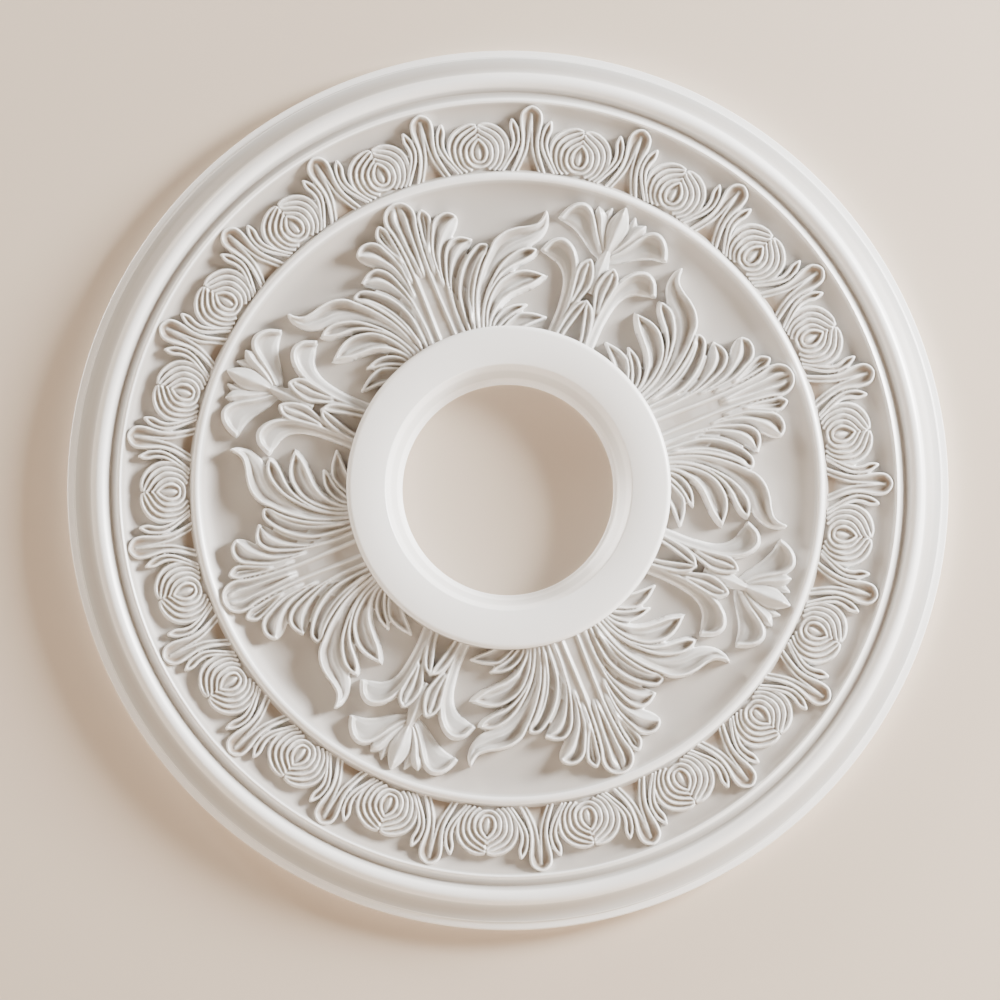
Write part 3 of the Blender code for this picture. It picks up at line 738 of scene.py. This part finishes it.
def mark_hollows(ob, rounds=10, reach=0.55):
    """Stores on each point how far it lies under its surroundings: 0 on crests, 0.5 on flats, 1 in grooves.

    The surroundings are the points of the mesh averaged with their neighbours, round after round.
    reach: depth in millimetres that counts as 1.
    """
    mesh = ob.data
    count = len(mesh.vertices)
    co, no = np.empty(count * 3), np.empty(count * 3)
    mesh.vertices.foreach_get("co", co)
    mesh.vertex_normals.foreach_get("vector", no)
    co, no = co.reshape(-1, 3), no.reshape(-1, 3)
    pairs = np.empty(len(mesh.edges) * 2, int)
    mesh.edges.foreach_get("vertices", pairs)
    ends = np.concatenate(pairs.reshape(-1, 2).T)
    other = np.concatenate(pairs.reshape(-1, 2).T[::-1])
    number = np.maximum(np.bincount(ends, minlength=count), 1)
    around = co.copy()
    for _ in range(rounds):
        beside = [np.bincount(ends, around[other, k], count) / number for k in range(3)]
        around = OWN * around + (1 - OWN) * np.stack(beside, axis=1)
    under = ((around - co) * no).sum(1) / (reach * MM)
    for _ in range(2):
        under = 0.5 * under + 0.5 * np.bincount(ends, under[other], count) / number
    value = np.clip(0.5 + 0.5 * under, 0, 1).astype(np.float32)
    mesh.attributes.new("hollow", "FLOAT", "POINT").data.foreach_set("value", value)
    return np.percentile(value, (5, 50, 95)).round(2)


for ob in [body] + carvings:
    shares = mark_hollows(ob)
print("hollow values on an arc:", shares)

# %% Shader groups


def new_group(name, inputs, outputs):
    """Shader node group with its sockets, its input node and its output node."""
    group = bpy.data.node_groups.new(name, "ShaderNodeTree")
    for label, kind, value in inputs:
        socket = group.interface.new_socket(label, in_out="INPUT", socket_type=kind)
        socket.default_value = value
    for label, kind in outputs:
        group.interface.new_socket(label, in_out="OUTPUT", socket_type=kind)
    return group, group.nodes.new("NodeGroupInput"), group.nodes.new("NodeGroupOutput")


def add(tree, kind, feeds=None, **settings):
    """Node with its settings; feeds are numbers or other nodes' outputs for its sockets."""
    node = tree.nodes.new("ShaderNode" + kind)
    for key, value in settings.items():
        setattr(node, key, value)
    for label, value in (feeds or {}).items():
        if isinstance(value, bpy.types.NodeSocket):
            tree.links.new(value, node.inputs[label])
        else:
            node.inputs[label].default_value = value
    return node


print("helpers for nodes are ready")

# %% Tone of the primer, with painted shade and a painted highlight
# The dark tone is painted shade in grooves; the light tone is a painted highlight on crests.
PAINTED_SHADE_RANGE = (0.5, 0.88)       # hollow values over which the dark tone comes in
PAINTED_HIGHLIGHT_RANGE = (0.46, 0.22)       # hollow values over which the light tone comes in
SATIN = (0.36, 0.55)        # roughness of a flat and of a groove
UNEVEN = (0.75, 1.25)       # least and most of the patchy change in the dark tone
MOTTLED = (0.965, 1.03)     # least and most of the patchy change in all tones


def primer_tone_and_painted_light():
    """Colour of the primer: a clean tone, a painted highlight on crests, painted shade in hollows, slightly
    uneven.
    """
    group, given, out = new_group(
        "primer_tone_and_painted_light",
        [("Clean", "NodeSocketColor", (0.8, 0.8, 0.8, 1)), ("Hollow", "NodeSocketColor", (0.6, 0.55, 0.5, 1)),
         ("Painted_Highlight", "NodeSocketColor", (0.95, 0.95, 0.95, 1)), ("Depth", "NodeSocketFloat", 0.5),
         ("Patch", "NodeSocketFloat", 30.0)],
        [("Color", "NodeSocketColor"), ("Roughness", "NodeSocketFloat")])
    given, link = given.outputs, group.links.new
    mark = add(group, "Attribute", attribute_name="hollow").outputs["Fac"]
    # dip brings in the painted shade in grooves, peak the painted highlight on crests.
    dip = add(group, "MapRange", {"Value": mark, "From Min": PAINTED_SHADE_RANGE[0], "From Max": PAINTED_SHADE_RANGE[1]})
    highlight_ramp = add(group, "MapRange", {"Value": mark, "From Min": PAINTED_HIGHLIGHT_RANGE[0], "From Max": PAINTED_HIGHLIGHT_RANGE[1]})
    lit = add(group, "Mix", {"Factor": highlight_ramp.outputs["Result"], "A": given["Clean"], "B": given["Painted_Highlight"]},
              data_type="RGBA")
    place = add(group, "TexCoord").outputs["Object"]
    patches = add(group, "TexNoise", {"Vector": place, "Scale": given["Patch"], "Detail": 3.0}).outputs["Fac"]
    uneven = add(group, "MapRange", {"Value": patches, "To Min": UNEVEN[0], "To Max": UNEVEN[1]})
    amount = add(group, "Math", {0: dip.outputs["Result"], 1: uneven.outputs["Result"]},
                 operation="MULTIPLY").outputs["Value"]
    share = add(group, "Math", {0: amount, 1: given["Depth"]}, operation="MULTIPLY", use_clamp=True)
    mix = add(group, "Mix", {"Factor": share.outputs["Value"], "A": lit.outputs["Result"],
                             "B": given["Hollow"]}, data_type="RGBA")
    shade = add(group, "MapRange", {"Value": patches, "To Min": MOTTLED[0], "To Max": MOTTLED[1]})
    tint = add(group, "Mix", {"Factor": 1.0, "A": mix.outputs["Result"], "B": shade.outputs["Result"]},
               data_type="RGBA", blend_type="MULTIPLY")
    rough = add(group, "MapRange", {"Value": amount, "To Min": SATIN[0], "To Max": SATIN[1]})
    link(tint.outputs["Result"], out.inputs["Color"])
    link(rough.outputs["Result"], out.inputs["Roughness"])
    return group


tone_group = primer_tone_and_painted_light()
print("tone group of", len(tone_group.nodes), "nodes")

# %% Grain of the primer
WAVE_SHARE = 6.0            # height of the mould's waviness in heights of the grain


def cast_skin():
    """Height of the fine grain that spray leaves, over a soft waviness of the mould."""
    group, given, out = new_group(
        "cast_skin", [("Grain", "NodeSocketFloat", 1500.0), ("Wave", "NodeSocketFloat", 60.0)],
        [("Height", "NodeSocketFloat")])
    place, given = add(group, "TexCoord").outputs["Object"], given.outputs
    grain = add(group, "TexNoise", {"Vector": place, "Scale": given["Grain"], "Detail": 2.0})
    wave = add(group, "TexNoise", {"Vector": place, "Scale": given["Wave"], "Detail": 1.0})
    higher = add(group, "Math", {0: wave.outputs["Fac"], 1: WAVE_SHARE}, operation="MULTIPLY")
    total = add(group, "Math", {0: grain.outputs["Fac"], 1: higher.outputs["Value"]}, operation="ADD")
    group.links.new(total.outputs["Value"], out.inputs["Height"])
    return group


skin_group = cast_skin()
print("skin group of", len(skin_group.nodes), "nodes")

# %% Two white materials
# Clean is the primer's own colour; the crest tone is a painted highlight and the hollow tone is painted
# shade.
TONES = {"Clean": (0.6, 0.596, 0.582, 1), "Painted_Highlight": (0.98, 0.98, 0.975, 1), "Hollow": (0.27, 0.2, 0.14, 1)}
PATCH = 24.0                # scale of the patchy change
GRAIN, WAVE = 1400.0, 70.0  # scales of the grain and of the mould's waviness
SHEEN = 1.0                 # specular level, twice the usual one
GRAIN_M = 0.00005           # metres, height of the grain


def white(name, depth, bump):
    """White primer; depth is how strongly the painted shade darkens grooves, and bump how strongly the grain
    shows.
    """
    mat = bpy.data.materials.new(name)
    mat.use_nodes = True
    tree = mat.node_tree
    shader = tree.nodes["Principled BSDF"]
    shader.inputs["Specular IOR Level"].default_value = SHEEN
    tone = add(tree, "Group", {**TONES, "Depth": depth, "Patch": PATCH}, node_tree=tone_group)
    skin = add(tree, "Group", {"Grain": GRAIN, "Wave": WAVE}, node_tree=skin_group)
    relief = add(tree, "Bump", {"Strength": bump, "Distance": GRAIN_M, "Height": skin.outputs["Height"]})
    tree.links.new(tone.outputs["Color"], shader.inputs["Base Color"])
    tree.links.new(tone.outputs["Roughness"], shader.inputs["Roughness"])
    tree.links.new(relief.outputs["Normal"], shader.inputs["Normal"])
    return mat


# depth sets how dark the painted shade in the grooves is on each material.
ring_white = white("ring_white", depth=0.4, bump=0.2)
carving_white = white("carving_white", depth=0.9, bump=0.2)
for ob in [body] + carvings:
    ob.data.materials.clear()
    ob.data.materials.append(ring_white if ob is body else carving_white)
    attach(ob, "root")
    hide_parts("ceiling_rose")
print("materials:", ring_white.name, carving_white.name)

# %% [markdown]
# ## Studio
# The rose is shown as in a catalogue: on a plain pale wall, seen square on through a long lens. One
# soft light low on the right rakes over the relief and draws every edge. A weak warm fill keeps the
# hollows cream, two small lamps put glints on the far side of the outer moulding, and one more lights
# the back. The wall is seen from its front only, so that the back can be looked at too.

# %% Wall and floor
WALL_COLOR, FLOOR_COLOR = (0.62, 0.52, 0.42), (0.55, 0.47, 0.39)
WALL_SIZE, FLOOR_SIZE = 6.0, 12.0
WALL_GAP, FLOOR_Z = 0.0006, -0.6        # metres behind the rose's back, and below its centre


def stage_plane(name, size, location, rotation, color, glow, one_sided):
    """Plain plane of the studio: glow keeps it pale in the picture, one_sided hides it from behind."""
    deselect()
    bpy.ops.mesh.primitive_plane_add(size=size, location=location, rotation=rotation)
    ob = bpy.context.object
    ob.name = name
    mat = bpy.data.materials.new(name)
    mat.use_nodes = True
    tree = mat.node_tree
    shader = tree.nodes["Principled BSDF"]
    shader.inputs["Base Color"].default_value = (*color, 1)
    shader.inputs["Roughness"].default_value = 0.8
    shader.inputs["Emission Color"].default_value = (1.0, 0.92, 0.84, 1)
    path = add(tree, "LightPath").outputs
    shown = add(tree, "Math", {0: path["Is Camera Ray"], 1: glow}, operation="MULTIPLY")
    tree.links.new(shown.outputs["Value"], shader.inputs["Emission Strength"])
    if one_sided:
        side = add(tree, "NewGeometry").outputs["Backfacing"]
        either = add(tree, "Math", {0: side, 1: path["Is Shadow Ray"]}, operation="MAXIMUM")
        clear = add(tree, "BsdfTransparent")
        mix = add(tree, "MixShader", {0: either.outputs["Value"], 1: shader.outputs[0], 2: clear.outputs[0]})
        tree.links.new(mix.outputs[0], tree.nodes["Material Output"].inputs["Surface"])
    ob.data.materials.append(mat)
    return ob


stage_plane("wall", WALL_SIZE, (0, WALL_GAP, FLOOR_Z + WALL_SIZE / 2), (math.pi / 2, 0, 0), WALL_COLOR,
            glow=0.0, one_sided=True)
stage_plane("floor", FLOOR_SIZE, (0, 0, FLOOR_Z), (0, 0, 0), FLOOR_COLOR, glow=0.5, one_sided=False)
print("wall just behind the back, floor", -FLOOR_Z, "m below the centre")

# %% Lights
LAMPS = (                   # name, azimuth, height, distance, size, power and colour
    ("key", 21.0, 20.0, 1.8, 0.55, 156.0, (1.0, 0.995, 0.985)),
    ("fill", 160.0, 34.0, 2.2, 1.2, 14.0, (1.0, 0.8, 0.6)),
    ("glint_left", 133.0, 15.0, 1.8, 0.25, 18.0, (1.0, 0.93, 0.84)),
    ("glint_below", 312.0, 22.0, 1.8, 0.2, 13.0, (0.92, 0.96, 1.0)),
    ("behind", 150.0, -50.0, 2.0, 1.0, 70.0, (1.0, 0.97, 0.94)),
)
SKY_COLOR = (1.0, 0.82, 0.66, 1)
SKY_LIGHT, SKY_SHOWN = 0.05, 0.7        # faint as a light, pale where the camera sees it


def soft_light(name, azimuth, height, distance, size, power, color):
    """Square light aimed at the rose: azimuth from +X towards +Z, height above the wall's plane."""
    a, h = math.radians(azimuth), math.radians(height)
    back = Vector((math.cos(a) * math.cos(h), -math.sin(h), math.sin(a) * math.cos(h)))
    deselect()
    bpy.ops.object.light_add(type="AREA", location=back * distance)
    lamp = bpy.context.object
    lamp.name = name
    lamp.rotation_euler = (-back).to_track_quat("-Z", "Y").to_euler()
    lamp.data.size = size
    lamp.data.energy = power
    lamp.data.color = color


for lamp in LAMPS:
    soft_light(*lamp)
world = bpy.data.worlds.new("studio")
bpy.context.scene.world = world
world.use_nodes = True
tree = world.node_tree
seen = add(tree, "LightPath").outputs["Is Camera Ray"]
strength = add(tree, "MapRange", {"Value": seen, "To Min": SKY_LIGHT, "To Max": SKY_SHOWN})
tree.nodes["Background"].inputs["Color"].default_value = SKY_COLOR
tree.links.new(strength.outputs["Result"], tree.nodes["Background"].inputs["Strength"])
print(len(LAMPS), "lamps and a faint world")

# %% Camera
PICTURE = 1000                       # pixels across the photograph
RIM_PIXELS = 440.0                   # radius of the rose in it
CENTRE_PIXEL = (508.0, 490.0)        # its centre
CAMERA_DISTANCE, CAMERA_AZIMUTH, CAMERA_ELEVATION = 5.0, -1.0, -4.0

pixel = OUTER_R * MM / RIM_PIXELS
aim = Vector(((PICTURE / 2 - CENTRE_PIXEL[0]) * pixel, 0, -(PICTURE / 2 - CENTRE_PIXEL[1]) * pixel))
a, e = math.radians(CAMERA_AZIMUTH), math.radians(CAMERA_ELEVATION)
back = Vector((math.sin(a) * math.cos(e), -math.cos(a) * math.cos(e), math.sin(e)))
deselect()
bpy.ops.object.camera_add(location=aim + back * CAMERA_DISTANCE)
camera = bpy.context.object
camera.rotation_euler = (-back).to_track_quat("-Z", "Y").to_euler()
camera.data.lens = camera.data.sensor_width * CAMERA_DISTANCE / (PICTURE * pixel)
camera.data.clip_end = 50.0
bpy.context.scene.camera = camera
print("lens", round(camera.data.lens), "mm")

# %% Sizes, and finish
print("faces in all:", sum(len(ob.data.polygons) for ob in [body] + carvings))
